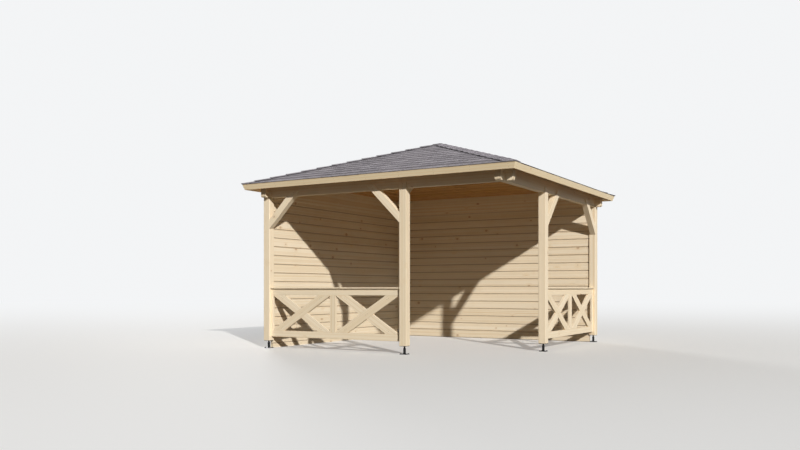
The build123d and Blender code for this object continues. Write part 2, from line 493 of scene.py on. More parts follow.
def shingle_felt(name):
    """Bitumen shingle with granules, black where cut, darker towards the course above: printed
    band and painted shade.
    """
    s = Surface(name)
    grain = s.attribute("grain", "Vector")
    tone = s.attribute("tone", "Fac")
    point = s.point()
    across, up, _ = s.parts(s.attribute("tab", "Vector"))

    granule = s.cells(grain, GRANULES)
    pick, second, _ = s.parts(granule.output("Color"))
    stops = [
        (0.00, srgb(96, 92, 97)),
        (0.30, srgb(150, 146, 156)),
        (0.62, srgb(186, 182, 193)),
        (0.88, srgb(212, 208, 218)),
        (1.00, srgb(234, 231, 237)),
    ]
    colour = s.node("ShaderNodeValToRGB", {"stops": stops}, {"Fac": pick})
    blotch = s.noise(s.scaled(point, (5.0, 5.0, 9.0)), 3.0)
    blend = s.step(tone, 0.1, 0.9) * 0.55 + s.step(blotch, 0.35, 0.68) * 0.45
    colour = s.mix(blend, colour, s.toned(colour, 1.0, 0.66))
    # Under each course's butt the felt darkens: partly the printed band of such shingles, partly
    # painted shade.
    printed_band_and_painted_shade = s.step(up + (blotch - 0.5) * 0.02, *COURSE_BAND)
    colour = s.mix(printed_band_and_painted_shade * 0.56, colour, COURSE_PRINT_AND_SHADE)
    side = s.step(across.math("ABSOLUTE"), 0.4985, 0.4995)
    _, _, z = s.parts(point)
    butt = (1 - s.step(up, *BUTT_LINE)) * s.step(z, *ABOVE_EAVES)
    colour = s.mix(side.math("MAXIMUM", butt) * 0.85, colour, CUT_FELT)
    roughness = 0.84 + second * 0.12
    height = (1 - granule) * 0.8
    return s.finish(colour, roughness, height, FELT_RELIEF, {"Specular IOR Level": 0.25})


def black_steel(name):
    """Black powder coat on steel, satin and a little dusty low down."""
    s = Surface(name)
    point = s.point()
    _, _, z = s.parts(point)
    peel = s.noise(s.scaled(point, [PAINT_GRAIN] * 3), 2.0)
    smudge = s.noise(s.scaled(point, [22.0] * 3), 3.0)
    dust = (1 - s.step(z, 0.0, DUST_TOP)) * s.step(smudge, 0.4, 0.75)
    colour = s.mix(dust * 0.12, srgb(15, 15, 17), srgb(84, 79, 72))
    roughness = 0.40 + smudge * 0.16 + dust * 0.20
    return s.finish(colour, roughness, peel, PAINT_RELIEF, {"Specular IOR Level": 0.2})


def zinc(name):
    """Yellow passivated zinc on screws and nails."""
    s = Surface(name)
    cloud = s.noise(s.scaled(s.point(), [ZINC_CLOUDS] * 3), 3.0)
    colour = s.mix(cloud, srgb(196, 176, 128), srgb(150, 140, 120))
    roughness = 0.30 + cloud * 0.25
    return s.finish(colour, roughness, cloud, ZINC_RELIEF, {"Metallic": 0.9})


materials = {
    "frame_timber": spruce("frame_spruce", srgb(250, 237, 213), srgb(232, 207, 168), 0.15),
    "wall_boards": spruce("wall_spruce", srgb(250, 238, 216), srgb(232, 208, 168), 0.17, 1.15),
    "railing_wood": spruce("railing_spruce", srgb(249, 236, 212), srgb(231, 206, 166), 0.14),
    # The roof boards' darker, warmer colours are painted shade for the ceiling, which lies in the
    # roof's shade.
    "roof_boards": spruce("roof_board_spruce", srgb(224, 178, 118), srgb(198, 146, 84), 0.16),
    # The fascia's paler colours are painted light for its faces, which lean down away from the
    # sun.
    "fascia": spruce("fascia_spruce", srgb(255, 240, 209), srgb(248, 218, 172), 0.12),
    "shingles": shingle_felt("granule_felt"),
    "black_steel": black_steel("black_powder_coat"),
    "fixings": zinc("zinc_plating"),
}


# Making and finishing pieces


def add_object(name, data):
    """An object at the origin for a mesh, a lamp or a camera."""
    obj = bpy.data.objects.new(name, data)
    bpy.context.scene.collection.objects.link(obj)
    return obj


def mesh_from(bm, name):
    """Turns an editing mesh into a mesh that an object can hold."""
    mesh = bpy.data.meshes.new(name)
    bm.to_mesh(mesh)
    bm.free()
    return mesh


def seat(obj, slot=None, *stands_for):
    """Lets a finished piece ride with the gazebo and hides the frame nodes it stands for; slot is
    not used.
    """
    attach(obj, "root")
    if stands_for:
        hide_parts(*stands_for)


def repeat(obj, tree, slot, inputs):
    """Runs a repeating tree on an object and keeps the result as a plain mesh."""
    modifier = obj.modifiers.new("repeat", "NODES")
    modifier.node_group = tree
    values = {**inputs, "Material": materials[slot]}
    for item in tree.interface.items_tree:
        if item.in_out == "INPUT" and item.name in values:
            modifier[item.identifier] = values[item.name]
    graph = bpy.context.evaluated_depsgraph_get()
    made = bpy.data.meshes.new_from_object(obj.evaluated_get(graph), depsgraph=graph)
    obj.modifiers.clear()
    obj.data = made


def place(obj, matrix):
    """Moves a piece by its mesh, so that its object stays at the origin."""
    obj.data.transform(matrix)
    obj.data.update()


def cut_away(obj, planes):
    """Cuts a piece at planes, each a point and the way out, and closes the cuts."""
    bm = bmesh.new()
    bm.from_mesh(obj.data)
    for point, outward in planes:
        bmesh.ops.bisect_plane(
            bm,
            geom=bm.verts[:] + bm.edges[:] + bm.faces[:],
            dist=SLIVER,
            plane_co=Vector(point),
            plane_no=Vector(outward),
            clear_outer=True,
        )
        open_edges = [edge for edge in bm.edges if edge.is_boundary]
        bmesh.ops.holes_fill(bm, edges=open_edges, sides=0)
    bm.to_mesh(obj.data)
    bm.free()


# Timbers of the frame, with eased edges


def timbers_of(bm):
    """The separate solids of a mesh, as lists of vertices."""
    left = set(bm.verts)
    found = []
    while left:
        stack = [min(left, key=lambda v: v.index)]
        group = []
        while stack:
            vert = stack.pop()
            if vert not in left:
                continue
            left.discard(vert)
            group.append(vert)
            stack.extend(edge.other_vert(vert) for edge in vert.link_edges)
        found.append(group)
    return found


def lay_grain(bm, seed, turned):
    """Runs each timber's grain along its longest edge, or against it, and marks its sawn ends.

    Edges and faces keep their order, so that of equal ones the same is chosen in every run.
    """
    draw = random.Random(seed)
    grain = bm.verts.layers.float_vector.new("grain")
    tone = bm.verts.layers.float.new("tone")
    end = bm.faces.layers.float.new("end")
    for timber in timbers_of(bm):
        edges = dict.fromkeys(edge for vert in timber for edge in vert.link_edges)
        faces = dict.fromkeys(face for vert in timber for face in vert.link_faces)
        longest = max(edges, key=lambda edge: edge.calc_length())
        along = (longest.verts[1].co - longest.verts[0].co).normalized()
        if turned:
            along.negate()
        widest = max(faces, key=lambda face: face.calc_area())
        depth = widest.normal
        across = depth.cross(along).normalized()
        middle = sum((vert.co for vert in timber), Vector()) / len(timber)
        start = Vector([draw.uniform(low, high) for low, high in TIMBER_GRAIN])
        shade = draw.random()
        for vert in timber:
            out = vert.co - middle
            vert[grain] = start + Vector((out.dot(along), out.dot(across), out.dot(depth)))
            vert[tone] = shade
        for face in faces:
            face[end] = 1.0 if abs(face.normal.dot(along)) > 0.9 else 0.0


def dress(node, ease, seed, material):
    """A copy of a frame node with eased edges and its own grain, which stands for the node."""
    bm = bmesh.new()
    bm.from_mesh(nodes[node].data)
    bmesh.ops.remove_doubles(bm, verts=bm.verts, dist=WELD)
    bmesh.ops.dissolve_limit(bm, angle_limit=FLAT_ANGLE, verts=bm.verts, edges=bm.edges)
    bm.verts.ensure_lookup_table()
    bm.verts.index_update()
    lay_grain(bm, seed, node in TURNED)
    obj = add_object(node + "_dressed", mesh_from(bm, node + "_dressed"))
    obj.data.materials.append(material)
    obj.data.shade_smooth()
    obj.data.set_sharp_from_angle(angle=SHARP_ANGLE)
    bevel = obj.modifiers.new("eased edges", "BEVEL")
    bevel.limit_method = "ANGLE"
    bevel.angle_limit = SHARP_ANGLE
    bevel.width = ease
    bevel.segments = EASE_SEGMENTS
    bevel.harden_normals = True
    seat(obj, slots[node], node)


def dress_frame():
    """Dresses the timbers, fascias, railings and feet. Boards and shingles are made one by one."""
    for seed, node in enumerate(nodes, 1):
        slot = slots[node]
        if node.endswith("_fascia"):
            dress(node, FASCIA_EASE, seed, materials["fascia"])
        elif slot in ("frame_timber", "railing_wood"):
            dress(node, TIMBER_EASE, seed, materials[slot])
        elif slot == "black_steel":
            dress(node, STEEL_EASE, seed, materials[slot])


# Boards of the walls and of the roof


def drawn_out(outline, length, middle):
    """A mesh along X from an outline in Y and Z, with its grain measured from the middle."""
    bm = bmesh.new()
    rows = [[bm.verts.new((x, y, z)) for y, z in outline] for x in (-length / 2, length / 2)]
    bm.faces.new(rows[0])
    bm.faces.new(rows[1][::-1])
    for i in range(len(outline)):
        j = (i + 1) % len(outline)
        bm.faces.new((rows[0][i], rows[0][j], rows[1][j], rows[1][i]))
    bmesh.ops.recalc_face_normals(bm, faces=bm.faces)
    grain = bm.verts.layers.float_vector.new("grain")
    for vert in bm.verts:
        vert[grain] = vert.co - middle
    return bm


def tongued_board(length, cover, thickness, joint_on_both_faces):
    """A tongued board from Y = 0 to its cover, with a bevel and a shadow gap at each joint."""
    half = thickness / 2
    low = [
        (JOINT_GAP + JOINT_BEVEL, -half),
        (JOINT_GAP, JOINT_BEVEL - half),
        (JOINT_GAP, JOINT_DEPTH - half),
        (0.0, JOINT_DEPTH - half),
    ]
    high = [(y, -z) for y, z in low] if joint_on_both_faces else [(0.0, half)]
    outline = low + high[::-1]
    outline += [(cover - y, z) for y, z in high]
    outline += [(cover - y, z) for y, z in low[::-1]]
    bm = drawn_out(outline, length, Vector((0, cover / 2, 0)))
    joint = bm.verts.layers.float.new("joint")
    for vert in bm.verts:
        from_edge = min(vert.co.y, cover - vert.co.y)
        vert[joint] = 1.0 if from_edge < JOINT_GAP + WELD else 0.0
    return mesh_from(bm, "tongued_board")


def trim_to_hips(tree, solid):
    """Pulls what reaches past the hips or the apex back to them."""
    x, y, z = tree.parts(tree.node("GeometryNodeInputPosition"))
    limit = tree.input("Limit") - y * tree.input("Rise") + z * tree.input("Lift")
    limit = limit.math("MAXIMUM", 0.0)
    x = x.math("MINIMUM", limit)
    x = x.math("MAXIMUM", limit * -1.0)
    y = y.math("MINIMUM", tree.input("Top"))
    return tree.moved(solid, Position=tree.vector(x, y, z))


# What trims a course: half its length at the eave, less with Y and more with Z, and the highest Y

SLOPE_HIPS = {"Limit": EAVE, "Rise": COSINE, "Lift": SINE, "Top": SLOPE_LENGTH}
NO_HIPS = {"Limit": 10.0, "Rise": 0.0, "Lift": 0.0, "Top": 10.0}


def board_courses():
    """Stacks one board, course by course, with a little play, between two hips."""
    sizes = ["Cover", "Short Scale", "Play", *SLOPE_HIPS]
    tree = Repeater("board_courses", {"Int": ["Count", "Short Rows", "Seed"], "Float": sizes})
    seed = tree.input("Seed")
    line = tree.line(tree.input("Count"), tree.vector(0.0, tree.input("Cover"), 0.0))
    play = tree.input("Play")
    push = tree.random("FLOAT", play * -1.0, play, seed)
    line = tree.moved(line, Offset=tree.vector(0.0, 0.0, push))
    index = tree.node("GeometryNodeInputIndex")
    long = index.math("GREATER_THAN", tree.input("Short Rows") - 0.5)
    short = tree.input("Short Scale")
    scale = tree.vector(short + long * (1 - short), 1.0, 1.0)
    boards = tree.instances(line, tree.input("Geometry"), Scale=scale)
    return tree.finish(trim_to_hips(tree, tree.marked(boards, seed)))


COURSES = board_courses()


def clean_seams(obj):
    """Removes the faces that trimming left without any area."""
    bm = bmesh.new()
    bm.from_mesh(obj.data)
    bmesh.ops.dissolve_degenerate(bm, dist=SLIVER, edges=bm.edges)
    bm.to_mesh(obj.data)
    bm.free()


def wall_boards():
    """The left and back walls. The left one starts and ends with half a board."""
    low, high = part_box("left_wall")
    height = high.z - low.z
    cover = height / WALL_COURSES
    length = high.y - low.y
    between_posts = 2 * (HALF - POST)
    ends = [((0, 0, 0), (0, -1, 0)), ((0, height, 0), (0, 1, 0))]
    upright = Matrix.Rotation(math.radians(90), 4, "X")
    mesh = tongued_board(length, cover, high.x - low.x, True)
    walls = {"left_wall": 90, "back_wall": 0}
    for seed, (name, turn) in enumerate(walls.items(), WALL_SEED):
        halved = name == "left_wall"
        obj = add_object(name + "_boards", mesh.copy())
        if halved:
            place(obj, Matrix.Translation((0, -cover / 2, 0)))
        inputs = {
            "Count": WALL_COURSES + halved,
            "Cover": cover,
            "Short Rows": 1 + halved,
            "Short Scale": between_posts / length,
            "Play": BOARD_PLAY,
            **NO_HIPS,
            "Seed": seed,
        }
        repeat(obj, COURSES, "wall_boards", inputs)
        if halved:
            cut_away(obj, ends)
        low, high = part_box(name)
        middle = (low + high) / 2
        turned = Matrix.Rotation(math.radians(turn), 4, "Z") @ upright
        place(obj, Matrix.Translation((middle.x, middle.y, low.z)) @ turned)
        seat(obj, "wall_boards", name)


def slope_matrix(turn):
    """From a slope's own frame, X along the eave, Y up the slope, to the gazebo's."""
    own = Matrix(
        ((1, 0, 0, 0), (0, COSINE, -SINE, -EAVE), (0, SINE, COSINE, EAVE_Z), (0, 0, 0, 1))
    )
    return Matrix.Rotation(math.radians(turn), 4, "Z") @ own


def roof_boards():
    """The boards under the shingles, parallel to the eaves and mitred on the hips."""
    start = (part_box("front_fascia")[1].z - EAVE_Z) / SINE
    mesh = tongued_board(2 * EAVE, ROOF_BOARD_COVER, DECK, False)
    mesh.transform(Matrix.Translation((0, start, -DECK / 2)))
    for seed, (side, turn) in enumerate(TURNS.items(), ROOF_SEED):
        obj = add_object(side + "_roof_board_courses", mesh)
        inputs = {
            "Count": math.ceil((SLOPE_LENGTH - start) / ROOF_BOARD_COVER),
            "Cover": ROOF_BOARD_COVER,
            "Short Rows": 0,
            "Play": 0.0,
            **SLOPE_HIPS,
            "Seed": seed,
        }
        repeat(obj, COURSES, "roof_boards", inputs)
        clean_seams(obj)
        place(obj, slope_matrix(turn))
        seat(obj, "roof_boards", side + "_roof_boards")


# Shingles and hip caps


def felt_mesh():
    """An empty mesh whose points know their place on the tab and on the grain."""
    bm = bmesh.new()
    for name in ("tab", "grain"):
        bm.verts.layers.float_vector.new(name)
    return bm


def felt_row(bm, points):
    """A row of points, each given by its place in space, on the tab and on the grain."""
    tab = bm.verts.layers.float_vector["tab"]
    grain = bm.verts.layers.float_vector["grain"]
    row = []
    for spot, on_tab, on_grain in points:
        vert = bm.verts.new(spot)
        vert[tab] = on_tab
        vert[grain] = on_grain
        row.append(vert)
    return row


def close_sheet(bm, below, above):
    """Faces a sheet from two grids of points: its top, its underside and its edge all round."""
    rows = len(above)
    columns = len(above[0])
    for i in range(rows - 1):
        for j in range(columns - 1):
            bm.faces.new((above[i][j], above[i][j + 1], above[i + 1][j + 1], above[i + 1][j]))
            bm.faces.new((below[i][j], below[i + 1][j], below[i + 1][j + 1], below[i][j + 1]))
    rim = [(0, j) for j in range(columns)]
    rim += [(i, columns - 1) for i in range(1, rows)]
    rim += [(rows - 1, j) for j in range(columns - 2, -1, -1)]
    rim += [(i, 0) for i in range(rows - 2, 0, -1)]
    for (i, j), (k, m) in zip(rim, rim[1:] + rim[:1]):
        bm.faces.new((below[i][j], below[k][m], above[k][m], above[i][j]))


def shingle_tab():
    """One tab, butt at Y = 0, that slopes down to lie on the roof boards at its head."""
    fall = (TAB_BUTT - TAB_THICKNESS - TAB_HEAD_GAP) / TAB_LENGTH
    bm = felt_mesh()
    layers = []
    for lower in (TAB_THICKNESS, 0.0):
        layer = []
        for row in TAB_ROWS:
            points = []
            for column in TAB_COLUMNS:
                corner = TAB_CORNER if row == 0.0 and abs(column) == 0.5 else 0.0
                spot = (column * TAB_WIDTH, row + corner, TAB_BUTT - lower - fall * row)
                points.append((spot, (column, row, 0.0), spot))
            layer.append(felt_row(bm, points))
        layers.append(layer)
    close_sheet(bm, *layers)
    bmesh.ops.recalc_face_normals(bm, faces=bm.faces)
    return mesh_from(bm, "shingle_tab")


def tab_courses():
    """Lays tabs in courses, each half a tab along from the one below, up to the hips."""
    sizes = ["Pitch", "Course", "First Course", "Drip", "Wave", *SLOPE_HIPS]
    tree = Repeater("tab_courses", {"Int": ["Rows", "Columns", "Seed"], "Float": sizes})
    seed = tree.input("Seed")
    columns = tree.input("Columns")
    points = tree.line(tree.input("Rows") * columns, (0.0, 0.0, 0.0))
    index = tree.node("GeometryNodeInputIndex")
    row = ((index + 0.5) / columns).math("FLOOR")
    column = index - row * columns
    odd = row.math("MODULO", 2.0)
    x = (column - (columns - 1) * 0.5 + odd * 0.5 - 0.25) * tree.input("Pitch")
    later = row.math("GREATER_THAN", 0.5)
    y = later * (tree.input("First Course") - tree.input("Course"))
    y = y + row * tree.input("Course") - tree.input("Drip")
    points = tree.moved(points, Position=tree.vector(x, y, 0.0))
    x, y, _ = tree.parts(tree.node("GeometryNodeInputPosition"))
    reach = tree.input("Limit") - y * tree.input("Rise") + tree.input("Pitch") * 0.45
    outside = x.math("ABSOLUTE").math("GREATER_THAN", reach)
    values = {"Geometry": points, "Selection": outside}
    points = tree.node("GeometryNodeDeleteGeometry", {"domain": "POINT"}, values)
    points = tree.moved(points, Offset=tree.random("FLOAT_VECTOR", *TAB_SLIP, seed + 1))
    solid = tree.marked(tree.instances(points, tree.input("Geometry")), seed)
    spot = tree.node("GeometryNodeInputPosition")
    wave = tree.node("ShaderNodeTexNoise", {}, {"Vector": spot, "Scale": 3.0, "Detail": 1.0})
    lift = (wave - 0.5) * tree.input("Wave")
    solid = tree.moved(solid, Offset=tree.vector(0.0, 0.0, lift))
    return tree.finish(trim_to_hips(tree, solid))


def shingles():
    """Four slopes of shingle tabs."""
    tree = tab_courses()
    mesh = shingle_tab()
    for seed, (side, turn) in zip(SHINGLE_SEEDS, TURNS.items()):
        obj = add_object(side + "_shingle_tabs", mesh)
        inputs = {
            "Rows": math.ceil(SLOPE_LENGTH / COURSE),
            "Columns": math.ceil(2 * (EAVE + DRIP) / TAB_PITCH) + 2,
            "Pitch": TAB_PITCH,
            "Course": COURSE,
            "First Course": FIRST_COURSE,
            "Drip": DRIP,
            "Wave": TAB_WAVE,
            **SLOPE_HIPS,
            "Seed": seed,
        }
        repeat(obj, tree, "shingles", inputs)
        clean_seams(obj)
        place(obj, slope_matrix(turn))
        seat(obj, "shingles", side + "_shingles")


# The front right hip: its direction, the two slopes that meet there, its foot, and the roof's peak

HIP_UP = Vector((-COSINE, COSINE, SINE)).normalized()
FRONT_NORMAL = Vector((0, -SINE, COSINE))
RIGHT_NORMAL = Vector((SINE, 0, COSINE))
HIP_CORNER = Vector((EAVE, -EAVE, EAVE_Z))
PEAK = EAVE_Z + EAVE * SINE / COSINE


def cap_height(row, ply, face):
    """Height over the roof boards of a ply's lower or upper face. It thins towards its head."""
    butt = CAP_LOW + ply * (CAP_PLY + CAP_PLY_GAP) + face * CAP_PLY
    head = CAP_SEAT + ply * CAP_HEAD_STEP + face * CAP_HEAD_PLY
    return butt + (head - butt) * row / CAP_LENGTH


def folded_cap():
    """A cap of two plies folded over the front right hip, its butt at the corner of the eaves."""
    front_wing = FRONT_NORMAL.cross(HIP_UP)
    right_wing = HIP_UP.cross(RIGHT_NORMAL)
    ridge = (FRONT_NORMAL + RIGHT_NORMAL) / (1 + FRONT_NORMAL.dot(RIGHT_NORMAL))
    bend = CAP_FOLD * (front_wing + right_wing) / 4
    bm = felt_mesh()
    for ply in (0, 1):
        start = CAP_SETBACK * (1 - ply)
        wing = CAP_WING - start
        layers = []
        for face in (0, 1):
            layer = []
            for row in (start, start + CAP_EDGE, CAP_PITCH, CAP_LENGTH):
                height = cap_height(row, ply, face)
                line = [
                    (-wing, wing * front_wing + height * FRONT_NORMAL),
                    (-CAP_FOLD, CAP_FOLD * front_wing + height * FRONT_NORMAL),
                    (0.0, bend + height * ridge),
                    (CAP_FOLD, CAP_FOLD * right_wing + height * RIGHT_NORMAL),
                    (wing, wing * right_wing + height * RIGHT_NORMAL),
                ]
                points = []
                for side, offset in line:
                    spot = HIP_CORNER + row * HIP_UP + offset
                    on_tab = (side / wing / 2, CAP_SHADE[0] + (row - start) * CAP_SHADE[1], 0.0)
                    points.append((spot, on_tab, (side, row, height)))
                layer.append(felt_row(bm, points))
            layers.append(layer)
        close_sheet(bm, *layers)
    bmesh.ops.recalc_face_normals(bm, faces=bm.faces)
    return mesh_from(bm, "folded_cap")


def spaced_pieces():
    """Repeats a piece along a straight line."""
    tree = Repeater("spaced_pieces", {"Int": ["Count", "Seed"], "Vector": ["Step"]})
    line = tree.line(tree.input("Count"), tree.input("Step"))
    pieces = tree.instances(line, tree.input("Geometry"))
    return tree.finish(tree.marked(pieces, tree.input("Seed")))


def hip_caps():
    """Overlapping caps up the four hips, and a last one over the apex."""
    tree = spaced_pieces()
    mesh = folded_cap()
    mesh.transform(Matrix.Translation(-FIRST_CAP * HIP_UP))
    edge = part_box("hip_caps")[1].x - CAP_INSET
    at_eaves = [((edge, 0, 0), (1, 0, 0)), ((0, -edge, 0), (0, -1, 0))]
    at_peak = [((0, 0, 0), (-1, 0, 0)), ((0, 0, 0), (0, 1, 0))]
    joined = bmesh.new()
    for seed, turn in enumerate(TURNS.values(), CAP_SEED):
        obj = add_object("caps_of_one_hip", mesh)
        inputs = {"Count": CAP_COUNT, "Step": CAP_PITCH * HIP_UP, "Seed": seed}
        repeat(obj, tree, "shingles", inputs)
        cut_away(obj, at_eaves + at_peak)
        place(obj, Matrix.Rotation(math.radians(turn), 4, "Z"))
        joined.from_mesh(obj.data)
        bpy.data.objects.remove(obj)
    apex_cap(joined)
    obj = add_object("hip_cap_run", mesh_from(joined, "hip_cap_run"))
    obj.data.materials.append(materials["shingles"])
    seat(obj, "shingles", "hip_caps")


def apex_cap(bm):
    """Adds a low four sided cap over the ends of the hip caps."""
    edge_low = PEAK - APEX_HALF * SINE / COSINE + APEX_LOW
    tip_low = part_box("hip_caps")[1].z - APEX_INSET - APEX_THICKNESS
    corners = [(APEX_HALF * x, APEX_HALF * y) for x, y in ((1, 1), (-1, 1), (-1, -1), (1, -1))]
    layers = []
    for above in (0.0, APEX_THICKNESS):
        spots = [(x, y, edge_low + above) for x, y in corners]
        ring = felt_row(bm, [(spot, (0.5, APEX_SHADE, 0.0), spot) for spot in spots])
        spot = (0, 0, tip_low + above)
        layers += [ring, felt_row(bm, [(spot, (0.0, APEX_SHADE, 0.0), spot)])[0]]
    low_ring, low_tip, high_ring, high_tip = layers
    for i in range(4):
        j = (i + 1) % 4
        bm.faces.new((high_ring[i], high_ring[j], high_tip))
        bm.faces.new((low_ring[j], low_ring[i], low_tip))
        bm.faces.new((low_ring[i], low_ring[j], high_ring[j], high_ring[i]))


# Screws, nails and bolts


def placed_heads():
    """Sets one head on each point, turned to face the way the point says."""
    tree = Repeater("placed_heads", {"Object": ["Head"]})
    head = tree.node("GeometryNodeObjectInfo", {}, {"Object": tree.input("Head")}, "Geometry")
    facing = tree.named("facing")
    turned = tree.node("FunctionNodeAlignRotationToVector", {"axis": "Z"}, {"Vector": facing})
    heads = tree.instances(tree.input("Geometry"), head, Rotation=turned)
    return tree.finish(tree.realized(heads))


HEADS = placed_heads()


def turned_profile(name, profile, sides, drive_depth=0.0):
    """A turned head from radius and height pairs, with a drive sunk in it if it has a depth."""
    bm = bmesh.new()
    angles = [2 * math.pi * k / sides for k in range(sides)]
    rings = []
    for radius, z in profile:
        points = [(radius * math.cos(a), radius * math.sin(a), z) for a in angles]
        rings.append([bm.verts.new(point) for point in points])
    for low, high in zip(rings, rings[1:]):
        for k in range(sides):
            m = (k + 1) % sides
            bm.faces.new((low[k], low[m], high[m], high[k]))
    bm.faces.new(rings[0][::-1])
    if drive_depth:
        star = []
        bottom = []
        for k in range(sides):
            reach = DRIVE_POINTS if k % 2 else DRIVE_HOLLOWS
            top = rings[-1][k].co
            star.append(bm.verts.new((top.x * reach, top.y * reach, top.z)))
        for x, y, z in [vert.co for vert in star]:
            bottom.append(bm.verts.new((x * DRIVE_TAPER, y * DRIVE_TAPER, z - drive_depth)))
        for k in range(sides):
            m = (k + 1) % sides
            bm.faces.new((rings[-1][k], rings[-1][m], star[m], star[k]))
            bm.faces.new((star[k], star[m], bottom[m], bottom[k]))
        bm.faces.new(bottom)
    else:
        bm.faces.new(rings[-1])
    bmesh.ops.recalc_face_normals(bm, faces=bm.faces)
    return mesh_from(bm, name)


def heads_at(name, places, head_mesh, slot=None):
    """One piece that holds a head at each place, given as a point and a direction."""
    helper = add_object(name + "_head", head_mesh)
    mesh = bpy.data.meshes.new(name)
    mesh.from_pydata([tuple(point) for point, _ in places], [], [])
    facing = mesh.attributes.new("facing", "FLOAT_VECTOR", "POINT")
    facing.data.foreach_set("vector", [part for _, direction in places for part in direction])
    obj = add_object(name, mesh)
    repeat(obj, HEADS, slot or "fixings", {"Head": helper})
    bpy.data.objects.remove(helper)
    seat(obj, slot)


def over_diagonal(places):
    """The same places on the right and back sides."""
    swapped = []
    for point, facing in places:
        swapped.append(((-point[1], -point[0], point[2]), (-facing[1], -facing[0], facing[2])))
    return places + swapped


# Profiles of the heads, as radius and height over the wood or the steel

SCREW_PROFILE = ((0.0044, -0.0010), (0.0046, 0.0002), (0.0038, 0.0008))
NAIL_PROFILE = ((0.0034, -0.0010), (0.0036, 0.0004), (0.0028, 0.0009))
BOLT_PROFILE = ((0.0092, 0.0), (0.0092, 0.0058), (0.0082, 0.0066))
WASHER_PROFILE = ((0.0125, 0.0), (0.0125, 0.0018), (0.0120, WASHER_TOP))
SCREW_HEAD = turned_profile("screw_head", SCREW_PROFILE, 12, DRIVE_DEPTH)
NAIL_HEAD = turned_profile("nail_head", NAIL_PROFILE, 10)
BOLT_HEAD = turned_profile("bolt_head", BOLT_PROFILE, 6)
WASHER = turned_profile("washer", WASHER_PROFILE, 20)


def frame_screws():
    """Screws through the posts' tongues and the braces' laps into the beams."""
    lap = TONGUE_TOP - BEAM_UNDERSIDE
    heights = [BEAM_UNDERSIDE + share * lap for share in LAP_SCREWS]
    places = []
    for node, facing in {"front_middle_post": (0, -1, 0), "front_left_post": (-1, 0, 0)}.items():
        low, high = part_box(node)
        middle = (low + high) / 2
        for z in heights:
            point = (middle.x, low.y, z) if facing[1] else (low.x, middle.y, z)
            places.append((point, facing))
    spread = BRACE_WIDTH * BRACE_SCREWS
    for node, direction in {"front_left_brace": 1, "front_middle_brace": -1}.items():
        low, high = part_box(node)
        tip = high.x if direction > 0 else low.x
        middle = tip - direction * (lap / 2 + BRACE_WIDTH * math.sqrt(0.5))
        for k in (-spread, spread):
            z = BEAM_UNDERSIDE + lap / 2 + direction * k
            places.append(((middle + k, low.y, z), (0, -1, 0)))
    places = over_diagonal(places)
    low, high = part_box("back_left_post")
    middle = (low + high) / 2
    for z in heights:
        places.append(((low.x, middle.y, z), (-1, 0, 0)))
        places.append(((middle.x, high.y, z), (0, 1, 0)))
    heads_at("frame_screws", places, SCREW_HEAD)


def railing_screws():
    """Screws down through the cap boards, and through the crosses where their boards meet."""
    low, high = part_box("front_railing_cap")
    middle = (low.y + high.y) / 2
    between_ends = high.x - low.x - 2 * RAILING_CAP_END
    places = []
    for k in range(RAILING_CAP_SCREWS):
        x = low.x + RAILING_CAP_END + between_ends * k / (RAILING_CAP_SCREWS - 1)
        places.append(((x, middle, high.z), (0, 0, 1)))
    low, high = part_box("front_railing_rising_boards")
    bay = (high.x - low.x - MIDDLE_STILE) / 2
    run = bay / 2 - CROSS_INSET
    rise = (high.z - low.z) / 2
    middle_z = (low.z + high.z) / 2
    for middle_x in (low.x + bay / 2, high.x - bay / 2):
        for share in CROSS_SCREWS:
            x = middle_x + run * share
            places.append(((x, low.y, middle_z + rise * share), (0, -1, 0)))
            if abs(share) > 0.5:
                places.append(((x, low.y, middle_z - rise * share), (0, -1, 0)))
    heads_at("railing_screws", over_diagonal(places), SCREW_HEAD)


def fascia_nails():
    """Pairs of nails along the four fascia boards."""
    places = []
    for turn in TURNS.values():
        matrix = slope_matrix(turn)
        out = matrix.to_3x3() @ Vector((0, -1, 0))
        for k in range(FASCIA_NAILS):
            x = (EAVE - FASCIA_NAIL_END) * (2 * k / (FASCIA_NAILS - 1) - 1)
            for below in FASCIA_NAIL_ROWS:
                places.append((matrix @ Vector((x, 0.0, -below)), out))
    heads_at("fascia_nails", places, NAIL_HEAD)


FEET = [node for node in nodes if node.endswith("_foot")]


def foot_bolts():
    """Four bolts with washers through each foot's base plate."""
    bolts = []
    washers = []
    for node in FEET:
        low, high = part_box(node)
        middle = (low + high) / 2
        for x in (-BOLT_SPREAD, BOLT_SPREAD):
            for y in (-BOLT_SPREAD, BOLT_SPREAD):
                point = Vector((middle.x + x, middle.y + y, FOOT_PLATE))
                washers.append((point, (0, 0, 1)))
                bolts.append((point + Vector((0, 0, WASHER_TOP)), (0, 0, 1)))
    heads_at("foot_bolts", bolts, BOLT_HEAD, "black_steel")
    heads_at("foot_washers", washers, WASHER, "black_steel")


def screw_threads():
    """Winds a thread round each foot's rod, between its nut and its head plate."""
    tree = Repeater("screw_threads", {"Float": ["Radius", "Turns", "Height", "Depth"]})
    values = {
        "Resolution": 20,
        "Rotations": tree.input("Turns"),
        "Start Radius": tree.input("Radius"),
        "End Radius": tree.input("Radius"),
        "Height": tree.input("Height"),
    }
    spiral = tree.node("GeometryNodeCurveSpiral", {}, values)
    values = {"Resolution": 4, "Radius": tree.input("Depth")}
    ridge = tree.node("GeometryNodeCurvePrimitiveCircle", {}, values)
    values = {"Curve": spiral, "Profile Curve": ridge, "Fill Caps": True}
    thread = tree.node("GeometryNodeCurveToMesh", {}, values)
    return tree.finish(tree.realized(tree.instances(tree.input("Geometry"), thread)))


